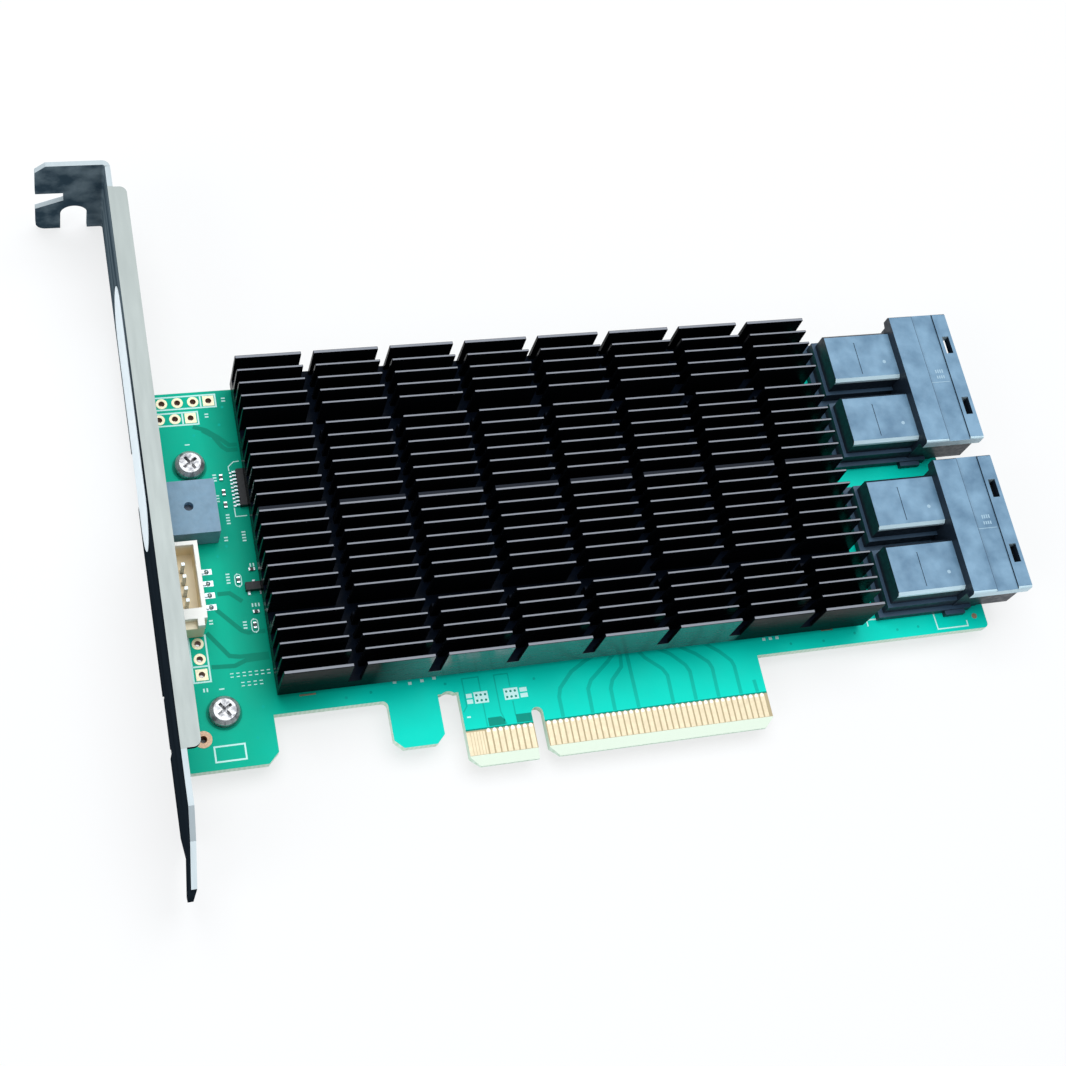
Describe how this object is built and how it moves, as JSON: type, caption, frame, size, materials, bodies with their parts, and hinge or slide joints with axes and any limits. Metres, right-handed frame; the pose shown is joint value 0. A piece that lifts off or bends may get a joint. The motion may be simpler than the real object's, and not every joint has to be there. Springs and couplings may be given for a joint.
{
  "type": "host bus adapter",
  "caption": "Expansion card with a folded metal bracket, a keyed card edge, a cross-cut black heat sink and two dual-port cable connectors.",
  "frame": {"origin": "on the card edge, at the middle of the key notch, on the bottom edge and at the board's mid-thickness", "axes": "+X along the card away from the bracket, +Y up the card towards the bracket's fixing tab, +Z out of the component side"},
  "size_m": [0.1566, 0.12, 0.0185],
  "materials": {
    "board": "satin",
    "gold": "polished",
    "plating": "satin",
    "copper": "satin",
    "sink_black": "satin",
    "thermal_pad": "matt",
    "substrate": "satin",
    "chip_black": "matt",
    "bracket_steel": "satin",
    "screw_steel": "polished",
    "label": "matt",
    "buzzer": "satin",
    "port_plastic": "satin",
    "tongue_plastic": "satin",
    "socket_white": "satin",
    "tin": "satin",
    "ceramic": "satin",
    "resistor": "satin"
  },
  "bodies": {
    "root": {"back_capacitors": "ceramic", "back_capacitors_ends": "tin", "board": "board", "board_locks": "tin", "bracket": "bracket_steel", "bracket_label": "label", "bracket_screws": "screw_steel", "buzzer_case": "buzzer", "buzzer_diaphragm": "gold", "buzzer_terminals": "tin", "copper_ring": "copper", "edge_contacts": "gold", "header_pads": "plating", "heat_sink": "sink_black", "lane_capacitors": "ceramic", "lane_capacitors_ends": "tin", "logic_chip": "chip_black", "logic_chip_leads": "tin", "memory_chip": "chip_black", "oscillator_base": "ceramic", "oscillator_lid": "tin", "port_blades_lower": "gold", "port_blades_upper": "gold", "port_housing_lower": "port_plastic", "port_housing_upper": "port_plastic", "port_tails_lower": "tin", "port_tails_upper": "tin", "port_tongues_lower": "tongue_plastic", "port_tongues_upper": "tongue_plastic", "regulator_chips": "chip_black", "resistors": "resistor", "resistors_ends": "tin", "screw_pads": "plating", "switch_chip_cap": "chip_black", "switch_chip_substrate": "substrate", "thermal_pad": "thermal_pad", "transistor": "chip_black", "transistor_legs": "tin", "wire_socket": "socket_white", "wire_socket_pads": "tin", "wire_socket_pins": "tin"}
  },
  "joints": []
}
